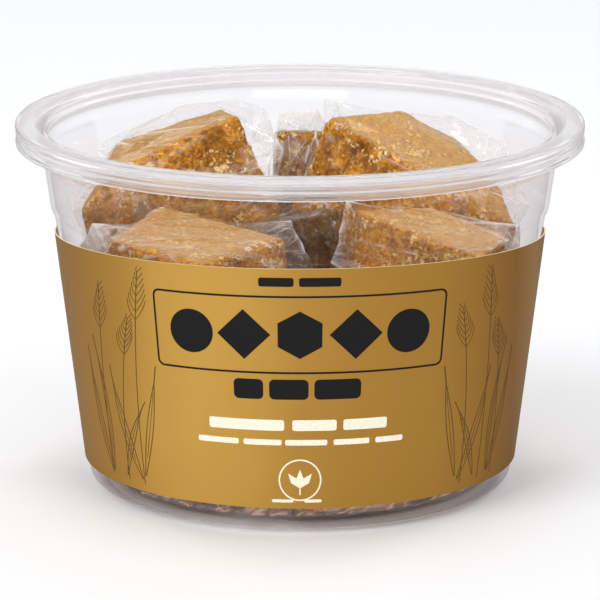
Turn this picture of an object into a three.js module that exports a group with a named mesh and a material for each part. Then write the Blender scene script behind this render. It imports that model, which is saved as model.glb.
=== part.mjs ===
// An open clear tub of jaggery blocks, each block folded up in clear film, with a printed
// label band round the front of the tub. Millimetres, +Z up. The origin is the middle of the
// foot ring's underside, on the surface that the tub stands on. -Y is the label's middle.

import * as THREE from "three";
import { ConvexGeometry } from "three/addons/geometries/ConvexGeometry.js";

// ---- Tub ---------------------------------------------------------------------------------
const TUB_HEIGHT = 82.5;
const RIM_RADIUS = 64; // outside of the rim's skirt
const WALL = 1.0; // thickness of the side wall
const TUB_SIDES = 72;
const ARC_STEPS = 3; // straight steps in one rounded corner of the tub's section

const FOOT_RADIUS = 46.2; // outer edge of the flat foot ring
const FOOT_WIDTH = 1.8;
const FOOT_RISE = 1.4; // how far the floor stands off the table inside the ring
const FLOOR = 2.6; // height of the floor's upper face
const CORNER_TOP = 4.5; // height where the rounded lower corner meets the wall
const CORNER_PULL = 0.4; // how far inside the wall the lower corner's curve is drawn
const FILLET = 2.5; // width of the inside fillet between wall and floor

const WALL_FOOT_RADIUS = 48.8; // outside of the wall at CORNER_TOP
const PANEL_TOP = 61.8; // the wall is set back below this height, where the label lies
const PANEL_TOP_RADIUS = 55.5;
const STEP_HEIGHT = 1.0;
const SHOULDER_RADIUS = 56.25; // outside of the wall just above the step
const NECK_HEIGHT = 78;
const NECK_RADIUS = 58.3;

const SKIRT = 1.0; // thickness of the rim's hanging skirt
const SKIRT_DROP = 4.8; // from the rim's top to the skirt's lower edge
const RIM_THICKNESS = 1.1;
const RIM_ROUND = 1.2; // rounding of the rim's outer top edge
const RING_DROP = 1.2; // from the rim's top to the ledge inside its raised ring
const CHANNEL_SPREAD = 0.4; // how far the neck leans out under the rim

// The skirt's outer face from its lower edge up, as height above that edge and how far it
// is set back from RIM_RADIUS: a bead at the foot, one in the middle and one at the top.
const SKIRT_FACE = [
  [0, 0.1], [0.8, 0], [1.1, 0.4], [1.8, 0.4], [2.0, 0.1], [2.4, 0.1], [2.6, 0.4], [3.6, 0],
];

// From the raised ring in to the bead that holds a lid, as drop below the rim's top and radius.
const RIM_INSIDE = [[0, 59.7], [RING_DROP, 59.2], [1.3, 57.3], [2.4, 57.2], [3, 56.6]];

// ---- Label -------------------------------------------------------------------------------
const LABEL_HALF_ANGLE = 93; // degrees to each side of the front
const LABEL_TOP = 61.4; // at the front
const LABEL_BOTTOM = 6.1; // at the front
const LABEL_TOP_DROOP = 4.4; // how much lower the top edge is a quarter turn round
const LABEL_BOTTOM_DROOP = 1.4;
const LABEL_THICKNESS = 0.3;
const LABEL_GAP = 0.3; // between label and wall
const LABEL_STEPS_ROUND = 60;
const LABEL_STEPS_UP = 4;

// ---- Wrapped blocks ----------------------------------------------------------------------
const EDGE_RADIUS = 2.2; // rounding of a block's edges
const LOWER_BASE = 3.4; // underside of the blocks that lie on the tub's floor

// The upper blocks lie tumbled. Each is given by the four corners of its top face, counted
// round it, by its depth below that face, and by how much wider (flare) and how far aside
// (slip) its lower face is. Bulges are further corners where its side swells out. The peaks
// are where the slack film stands up in tents or is pushed against the wall.
const UPPER_BLOCKS = {
  block_front_left: {
    top: [[-42.5, -24, 60.5], [-21, -40.5, 58.6], [-2.5, -18.5, 59.4], [-32, 4.5, 61.6]],
    depth: 28,
    flare: 1.12,
    slip: [0, 0],
    bulges: [],
    peaks: [[-46, -19, 62.5], [4, -29, 53.5], [-2, -10, 61], [-49.5, -9, 55], [-36, -36, 47]],
  },
  block_front_right: {
    top: [[11, -4, 62.4], [40, -32, 58], [46.5, -13, 59], [30, 4.5, 61.2]],
    depth: 27.5,
    flare: 1.02,
    slip: [0, -1],
    bulges: [],
    peaks: [[10.5, -1.5, 63.8], [6.8, -17, 53], [49, -14, 61], [24, -42, 45], [50.5, -5, 50]],
  },
  block_back_left: {
    top: [[-43, 9, 68.5], [-13.8, 20, 79.4], [-18, 38, 77.2], [-44, 33, 70]],
    depth: 36,
    flare: 1,
    slip: [-2, -1],
    bulges: [[-49.5, 5, 58], [-46, 7, 40], [-4.5, 20, 53]],
    peaks: [
      [-15, 31, 80.4], [-27.5, 33, 78.6], [-45, 15, 74.2], [-52, 4, 60], [-6, 15, 62], [-28, 45, 60],
      [-8, 31, 78], [-4, 22, 70],
    ],
  },
  block_back_right: {
    top: [[5.5, 29, 77.4], [28, 8.5, 67.8], [46, 18, 65.5], [37.5, 39, 69.8]],
    depth: 34,
    flare: 1,
    slip: [-4.5, -5],
    bulges: [[49, 6, 54], [46, 8, 38]],
    peaks: [[5.6, 32, 80.2], [21, 31, 77.2], [36, 38, 75], [47.5, 24, 71.5], [52.5, 8, 60], [22, 48, 60]],
  },
  block_middle: {
    top: [[-12.6, 1, 56.9], [7, -6.5, 61.4], [10.5, 7, 61.2], [-8, 11, 57]],
    depth: 26,
    flare: 0.98,
    slip: [-6, 0],
    bulges: [],
    peaks: [[5, 3, 63.2]],
  },
  block_back_middle: {
    top: [[-5.5, 41, 71], [6.5, 41.5, 70.5], [13, 51, 68.5], [-6.5, 52, 69]],
    depth: 33,
    flare: 0.97,
    slip: [0, 0],
    bulges: [],
    peaks: [[-5, 47, 74], [4, 48, 74.5]],
  },
};

// The lower blocks sit flat on the floor, laid round its middle like the sails of a windmill:
// the height of each top, and how far each is turned out of that pattern, in degrees.
const LOWER_BLOCKS = {
  block_low_front_left: { top: 29.5, skew: -2.5 },
  block_low_front_right: { top: 29.5, skew: 3 },
  block_low_back_right: { top: 32, skew: -3 },
  block_low_back_left: { top: 31, skew: 2 },
};
const LOWER_LENGTH = 38.5;
const LOWER_WIDTH = 29.5;
const LOWER_TURN = -20; // of the whole pattern, degrees
const LOWER_SPREAD = 1.05; // how far the pattern is pulled apart
const LOWER_FOOT = 0.9; // share of the top's size that the underside has
const LOWER_BULGES = [[-12, -42.5], [-41, -17.5]]; // where the two outer sides swell to the wall

// ---- Materials ---------------------------------------------------------------------------
const clearPlastic = new THREE.MeshStandardMaterial({
  color: 0xe9e6e8,
  roughness: 0.08,
  metalness: 0,
  transparent: true,
  opacity: 0.35,
});
const goldPaper = new THREE.MeshStandardMaterial({ color: 0xb98a2e, roughness: 0.45, metalness: 0 });

function wrappedJaggery() {
  return new THREE.MeshStandardMaterial({ color: 0xb67a35, roughness: 0.35, metalness: 0 });
}

// ---- Tub section -------------------------------------------------------------------------
// The section runs out along the underside, up the outside, over the rim and down the inside.

function underside(section) {
  section.moveTo(0, FOOT_RISE);
  section.lineTo(FOOT_RADIUS - FOOT_WIDTH - FOOT_RISE, FOOT_RISE);
  section.lineTo(FOOT_RADIUS - FOOT_WIDTH, 0);
  section.lineTo(FOOT_RADIUS, 0);
}

function outerWall(section) {
  section.quadraticCurveTo(WALL_FOOT_RADIUS - CORNER_PULL, 0, WALL_FOOT_RADIUS, CORNER_TOP);
  section.lineTo(PANEL_TOP_RADIUS, PANEL_TOP);
  section.lineTo(SHOULDER_RADIUS, PANEL_TOP + STEP_HEIGHT);
  section.lineTo(NECK_RADIUS, NECK_HEIGHT);
  section.lineTo(NECK_RADIUS + CHANNEL_SPREAD, TUB_HEIGHT - RING_DROP - RIM_THICKNESS);
}

// The skirt hangs outside the wall over an open channel.
function skirt(section) {
  const foot = TUB_HEIGHT - SKIRT_DROP;
  section.lineTo(RIM_RADIUS - SKIRT, TUB_HEIGHT - RIM_THICKNESS);
  section.lineTo(RIM_RADIUS - SKIRT, foot);
  for (const [height, setBack] of SKIRT_FACE) {
    section.lineTo(RIM_RADIUS - setBack, foot + height);
  }
}

function rimTop(section) {
  section.quadraticCurveTo(RIM_RADIUS, TUB_HEIGHT, RIM_RADIUS - RIM_ROUND, TUB_HEIGHT);
  for (const [drop, radius] of RIM_INSIDE) {
    section.lineTo(radius, TUB_HEIGHT - drop);
  }
}

function innerWall(section) {
  section.lineTo(NECK_RADIUS - WALL, NECK_HEIGHT);
  section.lineTo(SHOULDER_RADIUS - WALL, PANEL_TOP + STEP_HEIGHT);
  section.lineTo(PANEL_TOP_RADIUS - WALL, PANEL_TOP);
  const foot = WALL_FOOT_RADIUS - WALL;
  section.lineTo(foot, CORNER_TOP);
  section.quadraticCurveTo(foot - CORNER_PULL, FLOOR, foot - FILLET, FLOOR);
  section.lineTo(0, FLOOR);
}

function tub() {
  const section = new THREE.Path();
  underside(section);
  outerWall(section);
  skirt(section);
  rimTop(section);
  innerWall(section);
  const geometry = new THREE.LatheGeometry(section.getPoints(ARC_STEPS), TUB_SIDES);
  geometry.rotateX(Math.PI / 2);
  return namedMesh("tub", geometry, clearPlastic);
}

// ---- Label -------------------------------------------------------------------------------
function panelRadius(height) {
  const share = (height - CORNER_TOP) / (PANEL_TOP - CORNER_TOP);
  return WALL_FOOT_RADIUS + (PANEL_TOP_RADIUS - WALL_FOOT_RADIUS) * share;
}

// A flat box is bent round the wall: its length becomes the angle from the front, its depth
// the thickness, and its height the place between the two drooping edges.
function label() {
  const geometry = new THREE.BoxGeometry(1, 1, 1, LABEL_STEPS_ROUND, 1, LABEL_STEPS_UP);
  const place = geometry.attributes.position;
  for (let i = 0; i < place.count; i += 1) {
    const angle = THREE.MathUtils.degToRad(2 * LABEL_HALF_ANGLE * place.getX(i));
    const droop = 1 - Math.cos(angle);
    const top = LABEL_TOP - LABEL_TOP_DROOP * droop;
    const bottom = LABEL_BOTTOM - LABEL_BOTTOM_DROOP * droop;
    const height = bottom + (top - bottom) * (place.getZ(i) + 0.5);
    const out = LABEL_GAP + LABEL_THICKNESS * (0.5 - place.getY(i));
    const radius = panelRadius(height) + out;
    place.setXYZ(i, radius * Math.sin(angle), -radius * Math.cos(angle), height);
  }
  return namedMesh("label", geometry, goldPaper);
}

// ---- Wrapped blocks ----------------------------------------------------------------------
function unit(from, to) {
  return new THREE.Vector3().subVectors(to, from).normalize();
}

// Eight corners, the top face first, each joined to the two beside it and the one over it.
function neighbours(index) {
  const face = index < 4 ? 0 : 4;
  const turn = index - face;
  return [face + ((turn + 1) % 4), face + ((turn + 3) % 4), (index + 4) % 8];
}

function ballAround(middle) {
  const points = [];
  for (let x = -1; x <= 1; x += 1) {
    for (let y = -1; y <= 1; y += 1) {
      for (let z = -1; z <= 1; z += 1) {
        const way = new THREE.Vector3(x, y, z);
        if (way.lengthSq() > 0) {
          points.push(middle.clone().addScaledVector(way.normalize(), EDGE_RADIUS));
        }
      }
    }
  }
  return points;
}

// Points on a ball of EDGE_RADIUS at each corner, set in so that the faces touch the balls.
function roundedCorners(corners) {
  return corners.flatMap((corner, index) => {
    const middle = corner.clone();
    for (const other of neighbours(index)) {
      middle.addScaledVector(unit(corner, corners[other]), EDGE_RADIUS);
    }
    return ballAround(middle);
  });
}

function upperBlock(name, block) {
  const top = block.top.map((corner) => new THREE.Vector3(...corner));
  const middle = new THREE.Vector3();
  top.forEach((corner) => middle.addScaledVector(corner, 1 / top.length));
  const across = new THREE.Vector3().subVectors(top[2], top[0]);
  const up = across.cross(new THREE.Vector3().subVectors(top[3], top[1])).normalize();
  const slip = new THREE.Vector3(...block.slip, 0);
  const lower = top.map((corner) => {
    const foot = middle.clone().lerp(corner, block.flare);
    return foot.addScaledVector(up, -block.depth).add(slip);
  });
  const points = roundedCorners([...top, ...lower]);
  for (const bulge of block.bulges) {
    const inward = new THREE.Vector3(...bulge).sub(middle).setLength(EDGE_RADIUS);
    points.push(...ballAround(new THREE.Vector3(...bulge).sub(inward)));
  }
  points.push(...block.peaks.map((peak) => new THREE.Vector3(...peak)));
  return namedMesh(name, new ConvexGeometry(points), wrappedJaggery());
}

function lowerBlock(name, block, quarter) {
  const turn = THREE.MathUtils.degToRad(LOWER_TURN + 90 * quarter);
  const skew = THREE.MathUtils.degToRad(block.skew);
  const centre = new THREE.Vector2(-LOWER_WIDTH / 2, -LOWER_LENGTH / 2);
  centre.multiplyScalar(LOWER_SPREAD).rotateAround(new THREE.Vector2(), turn);
  const corners = [];
  for (const [height, share] of [[block.top, 1], [LOWER_BASE, LOWER_FOOT]]) {
    for (const [x, y] of [[-0.5, -0.5], [0.5, -0.5], [0.5, 0.5], [-0.5, 0.5]]) {
      const corner = new THREE.Vector2(x * LOWER_LENGTH * share, y * LOWER_WIDTH * share);
      corner.rotateAround(new THREE.Vector2(), turn + skew).add(centre);
      corners.push(new THREE.Vector3(corner.x, corner.y, height));
    }
  }
  const points = roundedCorners(corners);
  for (const bulge of LOWER_BULGES) {
    const place = new THREE.Vector2(...bulge).rotateAround(new THREE.Vector2(), turn);
    for (const height of [LOWER_BASE + EDGE_RADIUS, block.top - 2 * EDGE_RADIUS]) {
      points.push(...ballAround(new THREE.Vector3(place.x, place.y, height)));
    }
  }
  return namedMesh(name, new ConvexGeometry(points), wrappedJaggery());
}

// ---- The whole ---------------------------------------------------------------------------
function namedMesh(name, geometry, material) {
  const mesh = new THREE.Mesh(geometry, material);
  mesh.name = name;
  return mesh;
}

const pack = new THREE.Group();
pack.name = "tub_of_jaggery";
pack.add(tub(), label());
for (const [name, block] of Object.entries(UPPER_BLOCKS)) {
  pack.add(upperBlock(name, block));
}
Object.entries(LOWER_BLOCKS).forEach(([name, block], quarter) => {
  pack.add(lowerBlock(name, block, quarter));
});

export default pack;
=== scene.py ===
import math

import bmesh
import bpy
import numpy as np
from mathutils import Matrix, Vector, noise
from mathutils.bvhtree import BVHTree


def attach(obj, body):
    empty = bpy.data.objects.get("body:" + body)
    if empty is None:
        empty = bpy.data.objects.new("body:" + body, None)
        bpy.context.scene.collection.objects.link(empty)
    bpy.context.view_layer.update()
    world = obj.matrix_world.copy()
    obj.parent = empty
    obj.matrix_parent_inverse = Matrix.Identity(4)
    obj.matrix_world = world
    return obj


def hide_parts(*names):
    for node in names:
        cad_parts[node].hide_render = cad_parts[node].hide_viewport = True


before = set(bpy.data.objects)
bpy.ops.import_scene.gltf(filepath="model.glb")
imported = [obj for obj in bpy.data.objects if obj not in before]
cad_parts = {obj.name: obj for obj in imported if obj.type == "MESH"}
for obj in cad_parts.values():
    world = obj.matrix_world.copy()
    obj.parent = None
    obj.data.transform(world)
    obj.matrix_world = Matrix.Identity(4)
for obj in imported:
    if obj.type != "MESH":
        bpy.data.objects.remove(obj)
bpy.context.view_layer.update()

MM = 0.001
scene = bpy.context.scene

# An open clear tub with a gold label and wrapped blocks of sugar. Shapes are given in mm and
# become metres through MM. Up is +z, and the label's middle faces -y.

# ---- Camera ----
CAMERA_PLACE = (0.0, -0.805, 0.251)
CAMERA_PITCH = 14.69  # degrees below the horizon
CAMERA_LENS, CAMERA_SENSOR = 219.0, 36.0  # mm

camera_data = bpy.data.cameras.new("camera")
camera_data.lens = CAMERA_LENS
camera_data.sensor_width = CAMERA_SENSOR
camera = bpy.data.objects.new("camera", camera_data)
camera.location = CAMERA_PLACE
camera.rotation_euler = (math.radians(90 - CAMERA_PITCH), 0, 0)
scene.collection.objects.link(camera)
scene.camera = camera


# ---- Node materials ----
class Shader:
    """The node tree of a material, or of the world, built from short calls."""

    def __init__(self, name, world=False):
        self.owner = (bpy.data.worlds if world else bpy.data.materials).new(name)
        self.owner.use_nodes = True
        self.tree = self.owner.node_tree
        self.tree.nodes.clear()
        self.output = "OutputWorld" if world else "OutputMaterial"
        places = self.node("TexCoord").outputs
        self.place = places["Generated" if world else "Object"]

    def put(self, socket, value):
        if isinstance(value, bpy.types.NodeSocket):
            self.tree.links.new(value, socket)
        elif isinstance(value, tuple) and socket.type == "RGBA":
            socket.default_value = (*value, 1)
        else:
            socket.default_value = value

    def node(self, kind, settings=None, **inputs):
        """A new node of a kind given without "ShaderNode", with its settings and inputs."""
        made = self.tree.nodes.new("ShaderNode" + kind)
        for key, value in (settings or {}).items():
            setattr(made, key, value)
        for key, value in inputs.items():
            self.put(made.inputs[key.replace("_", " ")], value)
        return made

    def math(self, operation, *values, clamp=False):
        made = self.node("Math", {"operation": operation, "use_clamp": clamp})
        for socket, value in zip(made.inputs, values):
            self.put(socket, value)
        return made.outputs[0]

    def times(self, first, second):
        return self.math("MULTIPLY", first, second)

    def plus(self, first, share, second):
        """A share of the first, and the second."""
        return self.math("MULTIPLY_ADD", first, share, second)

    def most(self, first, second):
        return self.math("MAXIMUM", first, second)

    def scaled(self, scale, turn=(0, 0, 0)):
        made = self.node("Mapping", Vector=self.place)
        made.inputs["Scale"].default_value = scale
        made.inputs["Rotation"].default_value = turn
        return made.outputs[0]

    def noise(self, scale, detail=4.0, rough=0.55, vector=None):
        inputs = dict(Vector=vector or self.place, Scale=scale, Detail=detail, Roughness=rough)
        return self.node("TexNoise", **inputs).outputs[0]

    def cells(self, scale):
        """A random value for each small cell."""
        return self.node("TexVoronoi", Vector=self.place, Scale=scale).outputs["Color"]

    def remap(self, value, low, high, to_low=0.0, to_high=1.0):
        made = self.node("MapRange", {"interpolation_type": "SMOOTHSTEP"})
        for socket, number in zip(made.inputs, (value, low, high, to_low, to_high)):
            self.put(socket, number)
        return made.outputs[0]

    def mix(self, share, first, second, blend="MIX"):
        made = self.node("Mix", {"data_type": "RGBA", "blend_type": blend})
        self.put(made.inputs[0], share)
        self.put(made.inputs[6], first)
        self.put(made.inputs[7], second)
        return made.outputs[2]

    def ray(self, kind):
        return self.node("LightPath").outputs[f"Is {kind} Ray"]

    def attribute(self, name):
        return self.node("Attribute", {"attribute_name": name}).outputs["Fac"]

    def bump(self, height, distance, strength):
        inputs = dict(Height=height, Distance=distance, Strength=strength)
        return self.node("Bump", **inputs).outputs[0]

    def principled(self, **inputs):
        return self.node("BsdfPrincipled", **inputs).outputs[0]

    def gloss(self, **inputs):
        return self.node("BsdfGlossy", Color=(1, 1, 1), **inputs).outputs[0]

    def see_through(self, colour):
        return self.node("BsdfTransparent", Color=colour).outputs[0]

    def milky(self, colour):
        """Spreads light, half of it back and half of it through."""
        kinds = ("BsdfDiffuse", "BsdfTranslucent")
        return self.mix_shaders(0.5, *(self.node(k, Color=colour).outputs[0] for k in kinds))

    def mirror_share(self, power, gain, least, **inputs):
        """How much a thin sheet mirrors: the least face on, and more the more it is edge on."""
        facing = self.node("LayerWeight", Blend=0.5, **inputs).outputs["Facing"]
        return self.plus(self.math("POWER", facing, power), gain, least)

    def mix_shaders(self, share, first, second):
        made = self.node("MixShader")
        for socket, value in zip(made.inputs, (share, first, second)):
            self.put(socket, value)
        return made.outputs[0]

    def finish(self, surface):
        self.node(self.output, Surface=surface)
        return self.owner


# The heights in metres between which the tub's look changes.
FOOT_HIGHLIGHT_SPAN = (0.0007, 0.0016)  # from the foot's milky edge, a painted highlight, to the clear wall
WALL_END = (0.0735, 0.076)  # from the thin wall to plastic that bends light
RIM_START = (0.0765, 0.079)  # from clear plastic to the milky rim
THIN_SHARE = 0.88  # how much of the wall's light goes straight through it
# How milky the foot's painted highlight is, and how milky the rim is.
FOOT_HIGHLIGHT_MILK, RIM_MILK = 0.6, 0.18
RIM_HAZE = 0.1  # how much rougher the rim is than the wall
PLASTIC_IOR = 1.26
THICK_TINT = (0.965, 0.957, 0.964)
THIN_TINT = (0.966, 0.958, 0.965)
SHADOW_TINT = (0.95, 0.948, 0.953)
PLASTIC_MILK = (0.88, 0.86, 0.88)


def clear_plastic():
    """A thin clear wall, a milky rim that bends light, and a painted highlight at the foot: a
    milky band along its rounded edge.
    """
    s = Shader("clear_plastic")
    height = s.node("SeparateXYZ", Vector=s.place).outputs["Z"]
    haze = s.remap(s.noise(60, 3, 0.5), 0.3, 0.7, 0.015, 0.035)
    # The foot's edge, where milk paints a highlight.
    edge = s.remap(height, *FOOT_HIGHLIGHT_SPAN, 1.0, 0.0)
    wall = s.remap(height, *WALL_END, THIN_SHARE, 0.0)
    rim = s.remap(height, *RIM_START)
    thick = s.principled(
        Base_Color=THICK_TINT,
        Roughness=s.plus(rim, RIM_HAZE, haze),
        IOR=PLASTIC_IOR,
        Transmission_Weight=1.0,
        Normal=s.bump(s.noise(28, 2, 0.5), 0.0003, 0.04),
    )
    shine = s.mirror_share(6.0, 0.3, 0.012)
    thin = s.mix_shaders(shine, s.see_through(THIN_TINT), s.gloss(Roughness=haze))
    body = s.mix_shaders(wall, thick, thin)
    # The milk is a painted highlight along the foot's edge, and a frosting on the rim.
    milk_share = s.most(s.times(rim, RIM_MILK), s.times(edge, FOOT_HIGHLIGHT_MILK))
    body = s.mix_shaders(milk_share, body, s.milky(PLASTIC_MILK))
    # The blocks inside are lit as through a thin sheet.
    through = s.see_through(SHADOW_TINT)
    lit = s.mix_shaders(s.ray("Diffuse"), body, through)
    return s.finish(s.mix_shaders(s.ray("Shadow"), lit, through))


def folds(s, direction, spacing, width, patch):
    """Straight lines across a direction, unevenly spaced and broken up into patches."""
    across = s.node("VectorMath", {"operation": "DOT_PRODUCT"})
    s.put(across.inputs[0], s.place)
    across.inputs[1].default_value = Vector(direction).normalized() / spacing
    warped = s.plus(s.noise(35, 0, 0.4), 3.0, across.outputs["Value"])
    off = s.math("ABSOLUTE", s.math("SUBTRACT", s.math("FRACT", warped), 0.5))
    line = s.remap(off, 0.0, width / spacing, 1.0, 0.0)
    moved = s.scaled((1, 1, 1), (direction[2], direction[0], direction[1]))
    shown = s.remap(s.noise(patch, 2, 0.5, vector=moved), 0.5, 0.58)
    return s.times(line, shown), off


# Three sets of folds in the film: spacing and width in metres, and the scale of the patches.
MAIN_FOLDS = (0.006, 0.00024, 70)
STEEP_FOLDS = (0.008, 0.00022, 80)
CROSS_FOLDS = (0.007, 0.00022, 110)
STRETCH = 0.16  # how much longer the film's ripples are along the grain than across it
FILM_TINT = (0.985, 0.984, 0.985)
FILM_MILK = (0.97, 0.96, 0.96)
TAUT_CREASE, SLACK_CREASE = 0.27, 0.55  # how milky a crease is
CLOUD = 0.15  # the most milk that a slack film has between its creases


def clear_film(grain, veil, milk_colour=FILM_MILK):
    """Thin clear film with taut folds along one direction, denser where it hangs slack."""
    s = Shader("clear_film")
    slack = s.attribute("slack")
    gx, gy = grain
    main, off_main = folds(s, (-gy * 0.7, gx * 0.7, 0.7), *MAIN_FOLDS)
    steep_way = (gx * 0.35 - gy * 0.8, gy * 0.35 + gx * 0.8, -0.5)
    steep, off_steep = folds(s, steep_way, *STEEP_FOLDS)
    cross_way = (gx * 0.8 - gy * 0.3, gy * 0.8 + gx * 0.3, 0.5)
    cross, off_cross = folds(s, cross_way, *CROSS_FOLDS)

    along = s.scaled((STRETCH, 1, 1), (0, 0, -math.atan2(gy, gx)))
    ripples = s.noise(420, 3, 0.6, vector=along)
    height = s.plus(ripples, 0.35, s.noise(150, 2, 0.5, vector=along))
    height = s.plus(off_main, 1.1, height)
    height = s.plus(off_steep, 0.9, height)
    height = s.plus(s.times(off_cross, slack), 0.9, height)
    height = s.times(height, s.remap(slack, 0, 1, 0.25, 1))
    normal = s.bump(height, 0.001, 0.55)

    crease = s.most(main, s.times(steep, s.remap(slack, 0, 1, 0.5, 1)))
    crease = s.most(crease, s.times(cross, slack))
    ridge = s.remap(s.attribute("ridge"), 0.3, 1.0)
    ridge = s.times(ridge, s.remap(s.noise(90, 2), 0.38, 0.52))
    crease = s.most(crease, s.times(ridge, 1.8))
    cloud = s.times(s.remap(s.noise(120, 3), 0.42, 0.65, 0.0, CLOUD), slack)
    milk_share = s.plus(
        crease, s.remap(slack, 0, 1, TAUT_CREASE, SLACK_CREASE), s.math("ADD", cloud, veil)
    )

    shine = s.mirror_share(4.0, 0.6, 0.035, Normal=normal)
    film = s.mix_shaders(shine, s.see_through(FILM_TINT), s.gloss(Roughness=0.06, Normal=normal))
    return s.finish(s.mix_shaders(milk_share, film, s.milky(milk_colour)))


# The sugar's colours, from the painted shade of its hollows to its dry pale flakes.
HOLLOW_SHADE = (0.20, 0.06, 0.003)
DARK_AMBER, AMBER = (0.37, 0.108, 0.003), (0.54, 0.19, 0.008)
LIGHT_AMBER = (0.66, 0.30, 0.028)
CRYSTAL = (0.72, 0.36, 0.045)
# Tops: dust, and a painted sheen of the film that lies over them.
TOP_DUST_AND_SHEEN = (0.56, 0.325, 0.105)
DARK_FLAKE, PALE_FLAKE = (0.72, 0.42, 0.13), (0.89, 0.63, 0.28)


def jaggery():
    """Amber, crystalline sugar with pale flakes, smoother and duller on a block's top, which is
    painted paler with dust and a painted sheen of the film.
    """
    s = Shader("jaggery")
    crust, depth, top, tone = (s.attribute(n) for n in ("crust", "depth", "top", "tone"))
    crystals = s.cells(1350)
    fine = s.noise(2300, 3, 0.6)
    long = s.scaled((1, 0.5, 1))  # the flakes on the tops lie longer

    def by_top(side_value, top_value):
        return s.remap(top, 0, 1, side_value, top_value)

    def flaky(scale, detail, rough):
        on_sides = s.noise(scale, detail, rough)
        on_top = s.noise(scale, detail, rough, vector=long)
        return s.node("Mix", Factor=top, A=on_sides, B=on_top).outputs[0]

    amber = s.mix(s.remap(s.noise(150, 3, 0.5), 0.35, 0.65), DARK_AMBER, AMBER)
    amber = s.mix(s.remap(flaky(520, 4, 0.65), 0.42, 0.62), amber, LIGHT_AMBER)
    amber = s.mix(s.remap(crystals, 0.2, 1.0, 0.0, 0.55), amber, CRYSTAL)
    # Tops are painted paler: dust, and a painted sheen standing in for the film's reflection.
    amber = s.mix(s.times(top, 0.65), amber, TOP_DUST_AND_SHEEN)
    # Painted shade: the grooves and pits are painted darker.
    amber = s.mix(depth, amber, HOLLOW_SHADE)

    flakes = s.plus(crust, 0.12, flaky(560, 6, 0.7))
    flakes = s.plus(crystals, 0.26, flakes)
    cover = s.remap(flakes, 0.735, 0.795)
    pale = s.mix(s.remap(fine, 0.35, 0.65), DARK_FLAKE, PALE_FLAKE)
    shown = s.mix(s.times(cover, by_top(0.95, 0.7)), amber, pale)

    grain = s.plus(crystals, 0.5, s.noise(1500, 4, 0.7))
    grain = s.remap(grain, 0.5, 1.0, by_top(0.82, 0.9), by_top(1.5, 1.15))
    # The block's painted shade darkens all of it, or lightens it below 0.
    shade = s.times(s.plus(tone, -0.6, 1.0), grain)

    height = s.plus(crystals, 0.5, fine)
    height = s.plus(cover, 0.8, height)
    height = s.times(height, by_top(1.0, 0.65))
    return s.finish(s.principled(
        Base_Color=s.mix(1.0, shown, shade, "MULTIPLY"),
        Roughness=s.remap(fine, 0.3, 0.7, 0.4, 0.68),
        IOR=1.5,
        Specular_IOR_Level=0.2,
        Subsurface_Weight=0.15,
        Subsurface_Radius=(0.0012, 0.0006, 0.0002),
        Subsurface_Scale=1.0,
        Normal=s.bump(height, 0.0006, 1.0),
    ))


# Painted shade: shares of the deeper gold across the label, by place from its left side to its
# right side. It is deepest at both sides and towards the right, and lightest left of the middle,
# as a key light from the left would shade the band.
PAINTED_GOLD_SHADE = [
    (0.025, 0.85), (0.086, 1.0), (0.151, 0.45), (0.213, 0.1), (0.29, 0.0), (0.397, 0.08),
    (0.5, 0.4), (0.603, 0.52), (0.767, 0.55), (0.849, 0.7), (0.933, 1.0), (0.975, 0.8),
]
BAND_WIDTH = 0.11  # metres from the label's left side to its right side
BRIGHT_GOLD, WARM_GOLD = (0.63, 0.35, 0.062), (0.67, 0.38, 0.070)
# The gold of the painted shade.
SHADED_GOLD = (0.285, 0.116, 0.002)


def gold_print():
    """Satin gold, with painted shade in soft bands across the label: deeper towards its sides
    and its right, lightest left of its middle.
    """
    s = Shader("gold_print")
    across = s.node("SeparateXYZ", Vector=s.place).outputs["X"]
    place = s.plus(across, 1 / BAND_WIDTH, 0.5)
    band = s.node("ValToRGB", Fac=place)
    stops = band.color_ramp.elements
    every = [stops[0], stops[1]] + [stops.new(0.5) for _ in PAINTED_GOLD_SHADE[2:]]
    for stop, (position, share) in zip(every, PAINTED_GOLD_SHADE):
        stop.position = position
        stop.color = (share, share, share, 1)
    grain = s.noise(2600, 2, 0.6)
    bright = s.mix(s.remap(s.noise(30, 3, 0.5), 0.3, 0.7), BRIGHT_GOLD, WARM_GOLD)
    return s.finish(s.principled(
        Base_Color=s.mix(band.outputs[0], bright, SHADED_GOLD),
        Metallic=0.4,
        Roughness=s.remap(grain, 0.3, 0.7, 0.38, 0.46),
        Normal=s.bump(grain, 0.00002, 0.5),
    ))


INK_ROUGHNESS = (0.55, 0.67)
INK_SHADE = 0.88  # how dark the ink is in its darker places


def ink(name, colour):
    s = Shader(name)
    grain = s.noise(1800, 3, 0.6)
    darker = tuple(INK_SHADE * c for c in colour)
    return s.finish(s.principled(
        Base_Color=s.mix(s.remap(grain, 0.3, 0.7), darker, colour),
        Roughness=s.remap(grain, 0.3, 0.7, *INK_ROUGHNESS),
        Specular_IOR_Level=0.25,
        Normal=s.bump(grain, 0.00001, 0.4),
    ))


# ---- Mesh helpers ----
def add_object(name, mesh, materials, slot_name, nodes):
    """Puts a mesh in the scene as a piece that takes the place of the nodes."""
    made = bpy.data.objects.new(name, mesh)
    scene.collection.objects.link(made)
    for material in materials:
        mesh.materials.append(material)
    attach(made, "root")
    if nodes:
        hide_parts(*nodes)
    return made


def mesh_of(name, vertices, faces):
    mesh = bpy.data.meshes.new(name)
    mesh.from_pydata([tuple(v) for v in vertices], [], [tuple(f) for f in faces])
    mesh.validate()
    mesh.shade_smooth()
    return mesh


def set_values(mesh, **values):
    """Keeps a number for each of the mesh's points, which its material reads by name."""
    for name, numbers in values.items():
        mesh.attributes.new(name, "FLOAT", "POINT").data.foreach_set("value", numbers)


def smoothstep(low, high, value):
    """0 at low and 1 at high, whichever of the two is the greater."""
    t = min(max((value - low) / (high - low), 0.0), 1.0)
    return t * t * (3 - 2 * t)


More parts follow.
